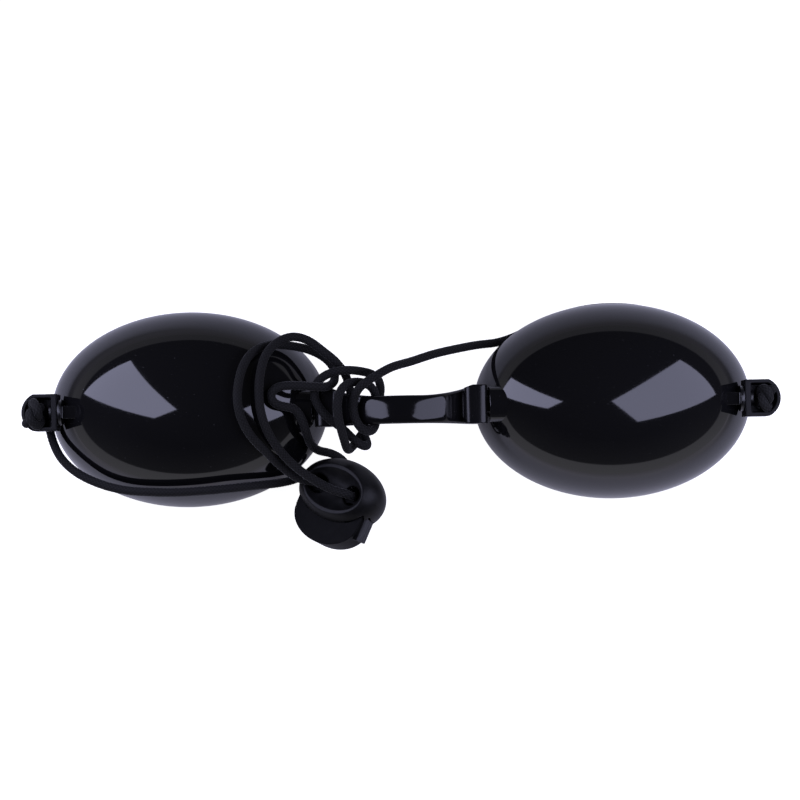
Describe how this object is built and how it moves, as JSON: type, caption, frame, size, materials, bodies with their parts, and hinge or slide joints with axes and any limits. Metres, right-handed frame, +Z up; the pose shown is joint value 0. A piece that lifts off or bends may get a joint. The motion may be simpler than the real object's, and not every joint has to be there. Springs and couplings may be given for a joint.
{
  "type": "laser safety goggles",
  "caption": "Opaque laser eye shield: glossy black eye cups hinged to an arched nose bridge, with an elastic head cord, end caps and a sprung cord lock.",
  "frame": {"origin": "middle of the shield between the cups, on the table plane that the cups' rims rest on", "axes": "+X from the left cup to the right cup as pictured, +Y toward the top of the picture (the brow side), +Z up through the domes, away from the wearer's eyes"},
  "size_m": [0.1584, 0.0522, 0.0241],
  "materials": {
    "gloss_black": "glossy",
    "cord": "braided",
    "lock_black": "satin",
    "spring_steel": "drawn wire"
  },
  "bodies": {
    "bridge": {"nose_bridge": "gloss_black", "cord_winding": "cord", "cord_outer_loop": "cord", "cord_inner_loop": "cord"},
    "left_cup": {"left_cup": "gloss_black", "left_end_cap": "gloss_black", "cord_left_knot": "cord", "cord_left_run": "cord", "lock_body": "lock_black", "lock_spring": "spring_steel"},
    "right_cup": {"right_cup": "gloss_black", "right_end_cap": "gloss_black", "cord_right_knot": "cord", "cord_right_run": "cord"},
    "plunger": {"lock_plunger": "lock_black"}
  },
  "joints": [
    {"name": "left_cup_fold", "type": "hinge", "parent": "bridge", "child": "left_cup", "pos_m": [-0.0157, -0.0005, 0.0136], "axis": [0, -1, 0], "range_deg": [-5, 25], "deforming": ["cord_outer_loop", "cord_inner_loop"]},
    {"name": "right_cup_fold", "type": "hinge", "parent": "bridge", "child": "right_cup", "pos_m": [0.0157, -0.0005, 0.0136], "axis": [0, 1, 0], "range_deg": [-5, 25], "deforming": ["cord_right_run"]},
    {"name": "lock_press", "type": "slide", "parent": "left_cup", "child": "plunger", "axis": [0.4073, 0.9099, -0.079], "range_m": [0, 0.0035], "stiffness_N_per_m": 300, "springref_m": -0.002, "deforming": ["lock_spring"]}
  ]
}
